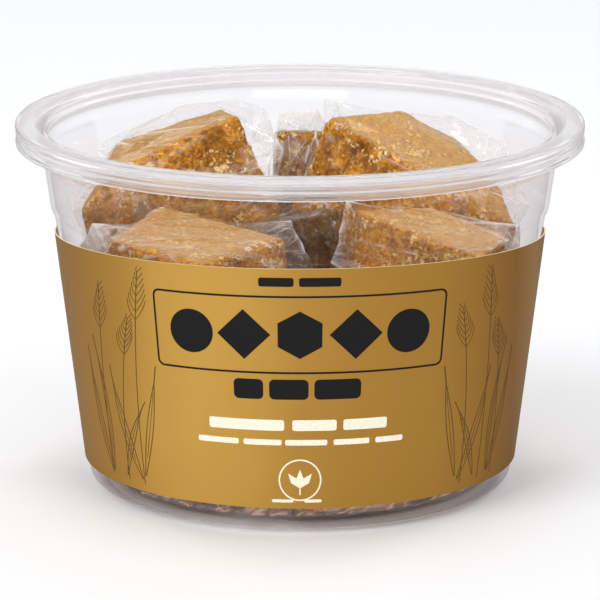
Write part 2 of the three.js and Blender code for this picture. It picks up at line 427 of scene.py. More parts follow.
# ---- Tub ----
# The section's corners as radius, height and rounding, in mm: out along the underside, up
# the outside, over the rim and down the inside.
TUB_CORNERS = [
    (0, 1.4, 0), (43, 1.4, 0.5), (44.4, 0, 0.2), (46.2, 0, 0.4), (48.1, 1.0, 1.0),
    (48.8, 4.5, 2.0), (55.5, 61.8, 0.5), (56.25, 62.8, 0.5), (58.3, 78, 1.2),
    (58.75, 80.3, 0.6), (59.4, 81.3, 0.5), (63, 81.4, 0.4), (63, 77.7, 0.25),
    (63.9, 77.7, 0.2), (64, 78.5, 0.2), (63.6, 78.8, 0.15), (63.6, 79.5, 0.15),
    (63.9, 79.7, 0.15), (63.9, 80.1, 0.15), (63.6, 80.3, 0.15), (63.7, 81.0, 0.2),
    (64, 81.4, 0.2), (63.9, 82.4, 0.6), (59.7, 82.5, 0.3), (59.2, 81.3, 0.3),
    (57.3, 81.2, 0.3), (57.2, 80.1, 0.3), (56.6, 79.5, 0.4), (57.3, 78, 0.8),
    (55.25, 62.8, 0.5), (54.5, 61.8, 0.5), (47.8, 4.5, 2.0), (45.9, 2.6, 2.0), (0, 2.6, 0),
]
TUB_SIDES = 288
ROUND_STEPS = 4
ROUND_REACH = 0.42  # the most of a straight part that the rounding at one end may take


def rounded_section(corners):
    """The section's corners, each replaced by a short curve."""
    path = []
    for i, (radius, height, size) in enumerate(corners):
        here = Vector((radius, height))
        if not size:
            path.append(here)
            continue
        to_last = Vector(corners[i - 1][:2]) - here
        to_next = Vector(corners[i + 1][:2]) - here
        first = here + to_last.normalized() * min(size, ROUND_REACH * to_last.length)
        last = here + to_next.normalized() * min(size, ROUND_REACH * to_next.length)
        for k in range(ROUND_STEPS + 1):
            t = k / ROUND_STEPS
            path.append(first * (1 - t) ** 2 + here * (2 * t * (1 - t)) + last * t * t)
    return path


def lathe(path, sides):
    """Turns a section round the z axis; a point on the axis becomes one vertex."""
    vertices, faces, rings = [], [], []
    for point in path:
        if point.x < 1e-6:
            rings.append([len(vertices)] * sides)
            vertices.append((0, 0, point.y * MM))
            continue
        rings.append(list(range(len(vertices), len(vertices) + sides)))
        for k in range(sides):
            angle = 2 * math.pi * k / sides
            x, y = point.x * math.cos(angle), point.x * math.sin(angle)
            vertices.append((x * MM, y * MM, point.y * MM))
    for low, high in zip(rings, rings[1:]):
        for k in range(sides):
            faces.append(list(dict.fromkeys((low[k - 1], low[k], high[k], high[k - 1]))))
    return vertices, faces


def make_tub():
    vertices, faces = lathe(rounded_section(TUB_CORNERS), TUB_SIDES)
    mesh = mesh_of("tub_shell", vertices, faces)
    tub = add_object("tub_shell", mesh, [clear_plastic()], "clear_plastic", ["tub"])
    weighted = tub.modifiers.new("face_weight", "WEIGHTED_NORMAL")
    weighted.keep_sharp = True


# ---- Label and print ----
WALL_FOOT = (48.8, 4.5)  # outside radius and height at the wall's foot
WALL_STEP = (55.5, 61.8)
LABEL_LOW, LABEL_TOP = 6.1, 61.4
LOW_DROOP, TOP_DROOP = 1.4, 4.4
LABEL_INSIDE, LABEL_OUTSIDE = 0.3, 0.6  # distance off the wall
LABEL_HALF = 93.0  # degrees to each side of the front
PRINT_RADIUS = 53.0  # mm of print along the wall per radian
BEND_STEP = 1.2  # mm between the cuts that let a flat shape bend
LABEL_ROWS = 10
LABEL_CORNER = 1.2
SHARP_EDGE = 35.0  # degrees
WELD, CUT_WELD = 0.001, 1e-5  # mm within which points of a flat shape are one


def on_wall(across, up, out):
    """Where a point of the flat print lies; across and up are mm from the middle and table."""
    angle = across / PRINT_RADIUS
    droop = 1 - math.cos(angle)
    share = (up - LABEL_LOW) / (LABEL_TOP - LABEL_LOW)
    low = LABEL_LOW - LOW_DROOP * droop
    top = LABEL_TOP - TOP_DROOP * droop
    height = low + (top - low) * share
    slope = (WALL_STEP[0] - WALL_FOOT[0]) / (WALL_STEP[1] - WALL_FOOT[1])
    radius = WALL_FOOT[0] + slope * (height - WALL_FOOT[1]) + out
    return Vector((radius * math.sin(angle), -radius * math.cos(angle), height)) * MM


def bent_solid(name, outlines, inside, outside, rows=0):
    """Flat outlines in mm, cut into narrow columns, thickened and bent round the wall."""
    bm = bmesh.new()
    for outline in outlines:
        bm.faces.new([bm.verts.new((x, z, 0)) for x, z in outline])
    bmesh.ops.remove_doubles(bm, verts=bm.verts, dist=WELD)
    xs = [v.co.x for v in bm.verts]
    ys = [v.co.y for v in bm.verts]
    columns = range(math.floor(min(xs) / BEND_STEP) + 1, math.ceil(max(xs) / BEND_STEP))
    cuts = [(Vector((c * BEND_STEP, 0, 0)), Vector((1, 0, 0))) for c in columns]
    for k in range(1, rows):
        y = min(ys) + (max(ys) - min(ys)) * k / rows
        cuts.append((Vector((0, y, 0)), Vector((0, 1, 0))))
    for point, normal in cuts:
        geometry = bm.verts[:] + bm.edges[:] + bm.faces[:]
        bmesh.ops.bisect_plane(bm, geom=geometry, plane_co=point, plane_no=normal, dist=CUT_WELD)
    bmesh.ops.recalc_face_normals(bm, faces=bm.faces)
    for face in bm.faces:
        if face.normal.z < 0:
            face.normal_flip()
    front = bmesh.ops.extrude_face_region(bm, geom=bm.faces[:], use_keep_orig=True)["geom"]
    for vertex in (g for g in front if isinstance(g, bmesh.types.BMVert)):
        vertex.co.z = 1
    for vertex in bm.verts:
        x, z, lift = vertex.co
        vertex.co = on_wall(x, z, inside + (outside - inside) * lift)
    bmesh.ops.recalc_face_normals(bm, faces=bm.faces)
    mesh = bpy.data.meshes.new(name)
    bm.to_mesh(mesh)
    bm.free()
    mesh.shade_smooth()
    mesh.set_sharp_from_angle(angle=math.radians(SHARP_EDGE))
    return mesh


BOX_STEPS = 5  # in each rounded corner of a box


def rounded_box(x, z, width, height, corner):
    points = []
    corner = min(corner, width / 2, height / 2)
    for k, (sx, sz) in enumerate([(1, 1), (-1, 1), (-1, -1), (1, -1)]):
        middle = x + sx * (width / 2 - corner), z + sz * (height / 2 - corner)
        for i in range(BOX_STEPS + 1):
            a = math.radians(90 * k + 90 * i / BOX_STEPS)
            points.append((middle[0] + corner * math.cos(a), middle[1] + corner * math.sin(a)))
    return points


def regular(x, z, radius, sides, turn=0.0):
    angles = [math.radians(turn) + 2 * math.pi * k / sides for k in range(sides)]
    return [(x + radius * math.cos(a), z + radius * math.sin(a)) for a in angles]


def ring(outer, inner):
    return [[outer[k - 1], outer[k], inner[k], inner[k - 1]] for k in range(len(outer))]


def left_of(line, i):
    """The way to the left of a line at one of its points."""
    way = (Vector(line[min(i + 1, len(line) - 1)]) - Vector(line[max(i - 1, 0)])).normalized()
    return Vector((-way.y, way.x))


def stroke(line, width):
    """A drawn line as quads."""
    left, right = [
        [tuple(Vector(p) + left_of(line, i) * side * width / 2) for i, p in enumerate(line)]
        for side in (1, -1)
    ]
    return [[left[i], left[i + 1], right[i + 1], right[i]] for i in range(len(line) - 1)]


def curve(start, bend, end, steps):
    a, b, c = Vector(start), Vector(bend), Vector(end)
    shares = [k / steps for k in range(steps + 1)]
    return [tuple(a * (1 - t) ** 2 + b * (2 * t * (1 - t)) + c * t * t) for t in shares]


LINE = 0.24  # width of the drawn lines, mm
VEIN_LINE, HAIR_LINE = 0.6 * LINE, 0.75 * LINE
LEAF_STEPS, HAIR_STEPS, STEM_STEPS = 12, 5, 18


def leaf(start, bend, end, width):
    """A long leaf drawn as two outlines that meet at its tip, with a middle vein."""
    spine = curve(start, bend, end, LEAF_STEPS)
    shapes = []
    for side in (-1, 1):
        edge = []
        for i, point in enumerate(spine):
            t = i / LEAF_STEPS
            swell = width * math.sin(math.pi * min(t * 1.15 + 0.03, 1.0)) / 2
            edge.append(tuple(Vector(point) + left_of(spine, i) * side * swell))
        shapes += stroke(edge, LINE)
    return shapes + stroke(spine[2:-3], VEIN_LINE)


def plume(root, tip, lean, count):
    """A grass head: short curved hairs along a stalk."""
    shapes = []
    a, b = Vector(root), Vector(tip)
    for k in range(count):
        t = k / (count - 1)
        at = a.lerp(b, t)
        reach = 3.6 * (1 - t) + 1.2
        for side in (-1, 1):
            end = at + Vector((side * reach * 0.55 + lean, reach))
            mid = at + Vector((side * reach * 0.45, reach * 0.35))
            shapes += stroke(curve(at, mid, end, HAIR_STEPS), HAIR_LINE)
    return shapes


def make_label():
    half = PRINT_RADIUS * math.radians(LABEL_HALF)
    middle, tall = (LABEL_LOW + LABEL_TOP) / 2, LABEL_TOP - LABEL_LOW
    outline = rounded_box(0, middle, 2 * half, tall, LABEL_CORNER)
    mesh = bent_solid("label_band", [outline], LABEL_INSIDE, LABEL_OUTSIDE, rows=LABEL_ROWS)
    looks = [gold_print(), ink("cut_paper", (0.80, 0.66, 0.42))]
    band = add_object("label_band", mesh, looks, "label", ["label"])
    for face in band.data.polygons:
        away = Vector((face.center.x, face.center.y, 0)).normalized()
        if abs(face.normal.dot(away)) < 0.6:
            face.material_index = 1  # the band's cut edges


# The print's shapes, in mm from the label's middle and above the table. A row of bars is its
# height above the table, its bars' height and corner, and each bar's middle and width.
DARK_BARS = [
    (58.4, 2.0, 0.5, [(-4.9, 7.2), (4.1, 8.6)]),
    (33.9, 4.6, 1.1, [(-11.2, 6.5), (-2.4, 8.5), (8.2, 10.2)]),
]
PALE_BARS = [
    (25.6, 2.5, 0.5, [(-12.0, 17.0), (3.2, 9.8), (14.6, 10.0)]),
    (21.6, 1.3, 0.4, [(-18.6, 9.6), (-8.4, 8.6), (1.4, 9.4), (11.6, 8.2), (20.4, 6.6)]),
    (7.9, 0.7, 0.3, [(-4.0, 5.0), (3.0, 4.0)]),
]
BOX_HEIGHT = 46.4
BOX_EDGES = [(65.0, 17.8, 1.6), (64.1, 16.9, 1.2)]  # width, height, corner
BOX_SHAPES = [  # middle, radius, sides, turn in degrees
    (-23.6, 5.0, 36, 0), (-11.9, 5.7, 4, 0), (0.0, 5.4, 6, 30), (11.9, 5.7, 4, 0),
    (23.6, 5.0, 36, 0),
]
BADGE_HEIGHT, BADGE_RADII, BADGE_SIDES = 12.8, (4.9, 4.55), 48
SPRIG_FOOT, SPRIG_LEAF, SPRIG_HALF_WIDTH = 10.9, 4.4, 0.85
SPRIG_TURNS = (-38, 0, 38)
SPRIG_STALK, STALK_LINE = [(0, 11.2), (0, 9.3)], 0.3
STEM_FOOT = 8.0
STEMS = {  # for each side of the label: how far out, height of the tip, sway inwards
    -1: [(38.5, 58.5, 2.2), (44.0, 47.0, 3.4), (50.5, 53.5, 1.2)],
    1: [(40.0, 50.0, 2.6), (46.5, 58.0, 1.4), (52.0, 45.0, 2.4)],
}
LEAVES = [  # foot, bend, tip, width
    ((39.5, 10), (36.0, 24), (33.5, 37), 1.9),
    ((40.5, 9), (47.0, 22), (48.5, 35), 2.2),
    ((46.0, 9), (43.0, 20), (37.5, 28), 1.7),
    ((52.0, 9), (56.5, 22), (57.5, 38), 2.0),
    ((51.5, 9), (50.0, 24), (54.5, 41), 1.6),
]
HAIRS = 7  # pairs of hairs on each grass head
HAIR_LEAN = 0.8
INK_DEPTH = 0.03  # how far the print stands over the label's face, and reaches into it


def bars(rows):
    return [rounded_box(x, z, wide, high, corner)
            for z, high, corner, places in rows for x, wide in places]


def dark_shapes():
    shapes = bars(DARK_BARS)
    shapes += ring(*(rounded_box(0, BOX_HEIGHT, *edge) for edge in BOX_EDGES))
    for x, radius, sides, turn in BOX_SHAPES:
        shapes.append(regular(x, BOX_HEIGHT, radius, sides, turn))
    return shapes


def pale_shapes():
    shapes = bars(PALE_BARS)
    shapes += ring(*(regular(0, BADGE_HEIGHT, r, BADGE_SIDES) for r in BADGE_RADII))
    at = Vector((0, SPRIG_FOOT))
    for turn in SPRIG_TURNS:
        a = math.radians(90 + turn)
        way, side = Vector((math.cos(a), math.sin(a))), Vector((-math.sin(a), math.cos(a)))
        tip, mid = at + way * SPRIG_LEAF, at + way * SPRIG_LEAF / 2
        wide = side * SPRIG_HALF_WIDTH
        shapes.append([tuple(at), tuple(mid - wide), tuple(tip), tuple(mid + wide)])
    return shapes + stroke(SPRIG_STALK, STALK_LINE)


def grass_shapes():
    shapes = []
    for side, stems in STEMS.items():
        for x, top, sway in stems:
            foot = (side * (x + 1.5), STEM_FOOT)
            tip = (side * (x - sway), top)
            bend = (side * (x + 2.2), (STEM_FOOT + top) / 2)
            stem = curve(foot, bend, tip, STEM_STEPS)
            shapes += stroke(stem, LINE)
            shapes += plume(stem[-5], tip, -side * HAIR_LEAN, HAIRS)
        for start, bend, end, width in LEAVES:
            points = [(side * x, z) for x, z in (start, bend, end)]
            shapes += leaf(*points, width)
    return shapes


def make_print():
    for name, shapes, colour, slot_name in (
        ("print_black", dark_shapes(), (0.010, 0.010, 0.010), "dark_print"),
        ("print_cream", pale_shapes(), (0.86, 0.80, 0.64), "pale_print"),
        ("print_stems", grass_shapes(), (0.13, 0.065, 0.015), "line_print"),
    ):
        mesh = bent_solid(name, shapes, LABEL_OUTSIDE - INK_DEPTH, LABEL_OUTSIDE + INK_DEPTH)
        add_object(name, mesh, [ink(name, colour)], slot_name, [])


# ---- Wrapped blocks ----
# The four corners of each top face, the depth, how much wider (flare) and how far aside
# (slip) the lower face is, the bulges of the sides, the film's peaks, the pairs of peaks that
# a taut ridge joins, the creases' direction (grain), and spots where the film looks tauter or
# looser: their middle and radius, what the slack is multiplied by, and what is added to it.
UPPER = {
    "block_front_left": dict(
        top=[(-42.5, -24, 60.5), (-21, -40.5, 58.6), (-2.5, -18.5, 59.4), (-32, 4.5, 61.6)],
        depth=28, flare=1.12, slip=(0, 0),
        peaks=[(-46, -19, 62.5), (4, -29, 53.5), (-2, -10, 61), (-49.5, -9, 55), (-36, -36, 47)],
        ridges=[(1, 2), (0, 3)], grain=(1, 0.1),
        spots=[((-8, -29, 52), 18, 0.15, 0), ((-47, -14, 57), 14, 1.5, 1.6)]),
    "block_front_right": dict(
        top=[(11, -4, 62.4), (40, -32, 58), (46.5, -13, 59), (30, 4.5, 61.2)],
        depth=27.5, flare=1.02, slip=(0, -1),
        peaks=[(10.5, -1.5, 63.8), (6.8, -17, 53), (49, -14, 61), (24, -42, 45), (50.5, -5, 50)],
        ridges=[(0, 1), (2, 4)], grain=(1, -0.6),
        spots=[((18, -16, 52), 19, 0.15, 0), ((49, -12, 56), 14, 1.5, 1.6)]),
    "block_back_left": dict(
        top=[(-43, 9, 68.5), (-13.8, 20, 79.4), (-18, 38, 77.2), (-44, 33, 70)],
        depth=36, flare=1, slip=(-2, -1), bulges=[(-49.5, 5, 58), (-46, 7, 40), (-4.5, 20, 53)],
        peaks=[(-15, 31, 80.4), (-27.5, 33, 78.6), (-45, 15, 74.2), (-52, 4, 60), (-6, 15, 62),
               (-28, 45, 60), (-8, 31, 78), (-4, 22, 70)],
        ridges=[(0, 1), (1, 2), (2, 3), (6, 7), (7, 4)], grain=(1, 0.25),
        spots=[((-7, 24, 70), 14, 1.5, 1)]),
    "block_back_right": dict(
        top=[(5.5, 29, 77.4), (28, 8.5, 67.8), (46, 18, 65.5), (37.5, 39, 69.8)],
        depth=34, flare=1, slip=(-4.5, -5), bulges=[(49, 6, 54), (46, 8, 38), (22, 34.5, 76.2)],
        peaks=[(5.6, 32, 80.2), (21, 31, 77.2), (36, 38, 75), (47.5, 24, 71.5), (52.5, 8, 60),
               (22, 48, 60)],
        ridges=[(0, 1), (1, 2), (2, 3), (3, 4)], grain=(1, -0.6),
        spots=[((4, 30, 71), 11, 1, 0.3)]),
    "block_middle": dict(
        top=[(-12.6, 1, 56.9), (7, -6.5, 61.4), (10.5, 7, 61.2), (-8, 11, 57)],
        depth=26, flare=0.98, slip=(-6, 0),
        peaks=[(5, 3, 63.2)], ridges=[], grain=(1, -0.2), spots=[((0, 0, 58), 40, 0.1, 0)]),
    "block_back_middle": dict(
        top=[(-5.5, 41, 71), (6.5, 41.5, 70.5), (13, 51, 68.5), (-6.5, 52, 69)],
        depth=33, flare=0.97, slip=(0, 0),
        peaks=[(-5, 47, 74), (4, 48, 74.5)], ridges=[(0, 1)], grain=(0.3, 1),
        spots=[((0, 43, 72), 12, 1, 1.8)]),
}
# The height of each lower block's top and its turn out of the windmill pattern, in degrees.
LOWER = {
    "block_low_front_left": (29.5, -2.5),
    "block_low_front_right": (29.5, 3),
    "block_low_back_right": (32, -3),
    "block_low_back_left": (31, 2),
}
LOWER_LENGTH, LOWER_WIDTH = 38.5, 29.5
LOWER_TURN, LOWER_SPREAD, LOWER_FOOT = -20, 1.05, 0.9
LOWER_BULGES = [(-12, -42.5), (-41, -17.5)]
LOWER_BASE = 3.4
EDGE_ROUND = 2.2


def upper_form(block):
    """A block's eight corners, the middles of the balls where it bulges, and its upward axis."""
    top = [Vector(c) for c in block["top"]]
    middle = sum(top, Vector()) / 4
    up = (top[2] - top[0]).cross(top[3] - top[1]).normalized()
    slip = Vector((*block["slip"], 0))
    lower = [middle.lerp(c, block["flare"]) - up * block["depth"] + slip for c in top]
    bulges = [Vector(b) for b in block.get("bulges", [])]
    return top + lower, [b - (b - middle).normalized() * EDGE_ROUND for b in bulges], up


def turned(x, y, degrees):
    a = math.radians(degrees)
    return Vector((x * math.cos(a) - y * math.sin(a), x * math.sin(a) + y * math.cos(a)))


def lower_form(quarter, top, skew):
    turn = LOWER_TURN + 90 * quarter
    centre = turned(-LOWER_WIDTH / 2, -LOWER_LENGTH / 2, turn) * LOWER_SPREAD
    corners = []
    for height, share in ((top, 0.5), (LOWER_BASE, 0.5 * LOWER_FOOT)):
        x, y = LOWER_LENGTH * share, LOWER_WIDTH * share
        for corner in ((-x, -y), (x, -y), (x, y), (-x, y)):
            corners.append(Vector((*(centre + turned(*corner, turn + skew)), height)))
    heights = (LOWER_BASE + EDGE_ROUND, top - 2 * EDGE_ROUND)
    bulges = [Vector((*turned(*b, turn), height)) for b in LOWER_BULGES for height in heights]
    return corners, bulges, Vector((0, 0, 1))


def ball(middle, radius, steps):
    """Points on a ball, on a cube's grid."""
    span = range(-steps, steps + 1)
    return [
        middle + Vector((x, y, z)).normalized() * radius
        for x in span for y in span for z in span
        if max(abs(x), abs(y), abs(z)) == steps
    ]


def block_points(corners, bulges, radius, steps=2):
    """Balls at the eight corners, set in so that the faces touch them, and at the bulges."""
    points = []
    for i, corner in enumerate(corners):
        face, turn = (0, i) if i < 4 else (4, i - 4)
        middle = corner.copy()
        for other in (face + (turn + 1) % 4, face + (turn + 3) % 4, (i + 4) % 8):
            middle += (corners[other] - corner).normalized() * radius
        points += ball(middle, radius, steps)
    for bulge in bulges:
        points += ball(bulge, EDGE_ROUND, steps)
    return points


def hull_of(points):
    """The tightest convex skin round the points."""
    bm = bmesh.new()
    for point in points:
        bm.verts.new(point)
    made = bmesh.ops.convex_hull(bm, input=bm.verts, use_existing_faces=False)
    left_over = made["geom_interior"] + made["geom_unused"]
    loose = {v for v in left_over if isinstance(v, bmesh.types.BMVert)}
    bmesh.ops.delete(bm, geom=list(loose), context="VERTS")
    bmesh.ops.recalc_face_normals(bm, faces=bm.faces)
    return bm


def remeshed(bm, size):
    """The closed mesh again, as an even grid of about that size in mm."""
    mesh = bpy.data.meshes.new("rough")
    bm.to_mesh(mesh)
    made = bpy.data.objects.new("rough", mesh)
    scene.collection.objects.link(made)
    voxels = made.modifiers.new("even", "REMESH")
    voxels.mode = "VOXEL"
    voxels.voxel_size = size
    graph = bpy.context.evaluated_depsgraph_get()
    even = bpy.data.meshes.new_from_object(made.evaluated_get(graph))
    bpy.data.objects.remove(made)
    bpy.data.meshes.remove(mesh)
    return even


SKIN = 0.35  # how far a block's mean surface lies under its film's outer form, mm
MOST_OUT = SKIN - 0.1
NOISE_SHIFT = (37.1, 11.7, 23.3)  # from one block to the next, so that none are alike
BLOCK_ROUND = 1.5
FINE_GRID, PLAIN_GRID = 0.65, 0.9  # sizes of the grid that the block's surface is shaped on, mm
# Painted shade: the middle blocks are painted darker for the shade deep between the others, and
# blocks below 0 are painted lighter for light they lack.
PAINTED_SHADES = {  # how much darker than the others a block is
    "block_middle": 1.35, "block_back_left": 0.12, "block_back_middle": 0.5,
    "block_front_left": -0.2, "block_front_right": -0.2,
}
# The lower blocks are painted lighter, as painted light for the little that reaches them below
# the label.
LOWER_PAINTED_SHADE = -0.35
VEILS = {"block_back_middle": 0.14}  # how milky a block's film is all over
VEIL, FOOT_VEIL = 0.005, 0.02
COLUMN_WIDTH, COLUMN_LENGTH = 6.5, 30.0  # of the lobes that the sugar sets in on the sides, mm


def read(items, field):
    values = np.empty(len(items) * 3)
    items.foreach_get(field, values)
    return values.reshape(-1, 3)


def sugar_relief(at, normal, up):
    """How far a point of the sugar lies outside its even form, its crust, and its depth, which
    paints shade into its grooves and pits.
    """
    rough = 1 - smoothstep(0.72, 0.93, abs(normal.dot(up)))
    along = at.dot(up)
    lobes, _ = noise.voronoi((at - up * along) / COLUMN_WIDTH + up * (along / COLUMN_LENGTH))
    patchy = smoothstep(-0.15, 0.35, noise.noise(at / 14.0))
    groove = (1 - smoothstep(0.0, 0.3, lobes[1] - lobes[0])) * patchy * rough
    swell = noise.fractal(at / 9.0, 1.0, 2.0, 3)
    pits = smoothstep(0.2, 0.55, noise.noise(at / 4.5) + 0.3 * noise.noise(at / 1.6)) * rough
    crust = smoothstep(-0.1, 0.5, noise.fractal(at / 7.0, 0.9, 2.2, 4) + 0.1 * rough)
    lumps = 0.5 + 0.5 * noise.noise(at / 0.95)
    out = 0.4 * swell * (0.3 + 0.7 * rough) + 0.16 * noise.noise(at / 0.8)
    out += 0.25 * crust * lumps - 0.5 * groove - 0.6 * pits
    return min(out, MOST_OUT), crust * (1 - 0.8 * groove), min(0.6 * groove + 0.4 * pits, 1.0)


def shape_jaggery(name, form, seed, grid):
    """The crystalline block, with its crust, depth, top and painted shade kept as attributes;
    depth paints shade into hollows, and the painted shade darkens or lightens the whole block.
    """
    corners, bulges, up = form
    bm = hull_of(block_points(corners, bulges, BLOCK_ROUND))
    mesh = remeshed(bm, grid)
    bm.free()
    places, normals = read(mesh.vertices, "co"), read(mesh.vertex_normals, "vector")
    base = places - normals * SKIN
    moved, (crusts, hollow_shades, tops) = base.copy(), np.zeros((3, len(base)))
    shift = Vector([seed * c for c in NOISE_SHIFT])
    for i in range(len(base)):
        place, normal = Vector(base[i]), Vector(normals[i])
        out, crusts[i], hollow_shades[i] = sugar_relief(place + shift, normal, up)
        moved[i] += normals[i] * out
        tops[i] = smoothstep(0.8, 0.95, normal.dot(up))
    # Each block's painted shade, one value all over it.
    tones = np.full(len(base), LOWER_PAINTED_SHADE if name in LOWER else PAINTED_SHADES.get(name, 0.0))
    mesh.vertices.foreach_set("co", (moved * MM).ravel())
    set_values(mesh, crust=crusts, depth=hollow_shades, top=tops, tone=tones)
    mesh.shade_smooth()
    mesh.update()
    faces = [tuple(p.vertices) for p in mesh.polygons]
    inside = BVHTree.FromPolygons([Vector(b) for b in base], faces)
    mesh.name = name
    return mesh, inside


CLEARANCE = 0.38  # least space between a block's mean surface and its film, mm
GRAIN_SQUASH = 0.3  # how much less the spaces between creases count along the grain
FILM_TRIES = 5000  # chance points on the film's outer form
CREASE_SPACE, PEAK_SPACE = 3.0, 0.5  # least space round a chance point and round a peak, mm
RIDGE_STEP = 3.0
RIDGE_HOLD = 0.93  # the least of its way out from the block that a ridge's point is held
TAUT_HOLD, LOOSE_HOLD = (0.15, 1.0), (0.35, 0.7)  # the least and most for a chance point
FACET_STEPS = 4
FOLD_BEND = (14, 40)  # the bend in degrees where a fold starts to show, and is full
RIPPLE, RIPPLE_SIZE = 0.05, 1.1
FILM_SHARP = 10  # degrees
PLAIN = dict(peaks=[], ridges=[], grain=(1, 0), spots=[])


def squashed(p, grain):
    return p - grain * (p.dot(grain) * (1 - GRAIN_SQUASH))


def rounded(p):
    return tuple(round(c, 4) for c in p)


def film_points(outer, peaks, ridges, grain, rng):
    """Points on the film's outer form and how far out each is held, below 0 if by chance."""
    triangles = [[v.co.copy() for v in f.verts] for f in outer.faces]
    areas = np.array([f.calc_area() for f in outer.faces])
    chosen, flats = [], []

    def keep(point, hold, space):
        flat = np.array(squashed(point, grain))
        if flats and np.min(np.sum((np.array(flats) - flat) ** 2, axis=1)) < space * space:
            return
        flats.append(flat)
        chosen.append((point, hold))

    for peak in peaks:
        keep(peak, 1.0, PEAK_SPACE)
    for first, last in ridges:
        a, b = peaks[first], peaks[last]
        steps = max(int((b - a).length / RIDGE_STEP), 2)
        for k in range(1, steps):
            hold = RIDGE_HOLD + (1 - RIDGE_HOLD) * rng.random()
            keep(a.lerp(b, k / steps), hold, PEAK_SPACE)
    picks = rng.choice(len(areas), size=FILM_TRIES, p=areas / areas.sum())
    for pick, (u, v, w) in zip(picks, rng.random((FILM_TRIES, 3))):
        if u + v > 1:
            u, v = 1 - u, 1 - v
        a, b, c = triangles[pick]
        keep(a + (b - a) * u + (c - a) * v, -w, CREASE_SPACE)
    return chosen


def held_points(chosen, centre, inside):
    """The points drawn in towards the block, each by as much as its hold lets it."""
    points = []
    for point, hold in chosen:
        way = (point - centre).normalized()
        far = (point - centre).length
        hit = inside.ray_cast(centre, way)
        near = (hit[3] if hit[0] else far - SKIN) + CLEARANCE
        if hold < 0:
            loose = smoothstep(1.0, 5.0, far - near)
            taut_hold, loose_hold = (a + (b - a) * -hold for a, b in (TAUT_HOLD, LOOSE_HOLD))
            hold = taut_hold * (1 - loose) + loose_hold * loose
        points.append(centre + way * (near + max(far - near, 0) * hold))
    return points


def facets_between(points, centre, grain):
    """Flat triangles of film that join the points all round the centre."""
    ways = [squashed(p - centre, grain).normalized() * 10 for p in points]
    sphere = hull_of(ways)
    at_way = {rounded(way): p for way, p in zip(ways, points)}
    facets = [[at_way[rounded(v.co)] for v in f.verts] for f in sphere.faces]
    sphere.free()
    return facets


def fold_edges(facets, rng):
    """How strong a fold each edge between two of the film's facets is, from 0 to 1."""
    normals = {}
    for a, b, c in facets:
        normal = (b - a).cross(c - a).normalized()
        for first, last in ((a, b), (b, c), (c, a)):
            normals.setdefault(frozenset((tuple(first), tuple(last))), []).append(normal)
    strengths = {}
    for edge, sides in normals.items():
        bend = math.degrees(sides[0].angle(sides[-1], 0.0))
        strengths[edge] = smoothstep(*FOLD_BEND, bend) * rng.uniform(0.3, 1.0)
    return strengths


def split_facets(facets, strengths):
    """The facets in smaller triangles, and how strong a fold runs through each point."""
    vertices, faces, ridges, known = [], [], [], {}

    def vertex(p, ridge):
        key = rounded(p)
        if key not in known:
            known[key] = len(vertices)
            vertices.append(p)
            ridges.append(0.0)
        ridges[known[key]] = max(ridges[known[key]], ridge)
        return known[key]

    for a, b, c in facets:
        grid = {}
        for i in range(FACET_STEPS + 1):
            for j in range(FACET_STEPS + 1 - i):
                k = FACET_STEPS - i - j
                # The order of adding is the same from both sides of a shared edge.
                weighted = sorted(((a, k), (b, i), (c, j)), key=lambda e: tuple(e[0]))
                total = Vector()
                for corner, weight in weighted:
                    total += corner * (weight / FACET_STEPS)
                ridge = 0.0
                for weight, first, last in ((i, a, c), (j, a, b), (k, b, c)):
                    if not weight:
                        edge = frozenset((tuple(first), tuple(last)))
                        ridge = max(ridge, strengths[edge])
                grid[i, j] = vertex(total, ridge)
        for i in range(FACET_STEPS):
            for j in range(FACET_STEPS - i):
                faces.append((grid[i, j], grid[i + 1, j], grid[i, j + 1]))
                if i + j < FACET_STEPS - 1:
                    faces.append((grid[i + 1, j], grid[i + 1, j + 1], grid[i, j + 1]))
    return vertices, faces, ridges


def slack_at(p, gap, spots):
    """How slack the film looks at a point that lies that far off its block."""
    out = math.hypot(p.x, p.y)
    by_wall = smoothstep(40, 47, out) * smoothstep(30, 45, p.z)
    by_foot = smoothstep(36, 42, out) * smoothstep(14, 8, p.z)
    slack = smoothstep(0.8, 5.0, gap) * (0.8 + 1.6 * by_wall)
    for place, radius, factor, extra in spots:
        share = smoothstep(radius, 0.4 * radius, (p - Vector(place)).length)
        slack = slack * (1 + (factor - 1) * share) + extra * share
    return slack + 2.5 * by_foot


def shape_film(name, form, block, inside, seed):
    """Taut straight creases between points on the slack film round a block."""
    corners, bulges, _ = form
    rng = np.random.default_rng(seed)
    peaks = [Vector(p) for p in block["peaks"]]
    grain = Vector((*block["grain"], 0)).normalized()
    centre = sum(corners, Vector()) / 8
    outer = hull_of(block_points(corners, bulges, EDGE_ROUND, 1) + peaks)
    bmesh.ops.triangulate(outer, faces=outer.faces)
    chosen = film_points(outer, peaks, block["ridges"], grain, rng)
    outer.free()
    facets = facets_between(held_points(chosen, centre, inside), centre, grain)
    vertices, faces, ridges = split_facets(facets, fold_edges(facets, rng))
    slacks = []
    for i, p in enumerate(vertices):
        near, normal, _, _ = inside.find_nearest(p)
        slacks.append(slack_at(p, (p - near).length, block["spots"]))
        if (p - near).dot(normal) < CLEARANCE:
            p = near + normal * CLEARANCE
        ripple = noise.noise(squashed(p, grain) / RIPPLE_SIZE + Vector((seed, 0, 0)))
        vertices[i] = p + (p - centre).normalized() * (RIPPLE * ripple)
    mesh = mesh_of(name, [v * MM for v in vertices], faces)
    bm = bmesh.new()
    bm.from_mesh(mesh)
    bmesh.ops.recalc_face_normals(bm, faces=bm.faces)
    bm.to_mesh(mesh)
    bm.free()
    mesh.shade_smooth()
    mesh.set_sharp_from_angle(angle=math.radians(FILM_SHARP))
    set_values(mesh, slack=slacks, ridge=ridges)
    return mesh


GATHER_COLUMNS, GATHER_ROWS = 64, 7
GATHER_LOW, GATHER_HIGH = 2.8, 8.5
GATHER_SPAN = 46  # degrees to each side of the block
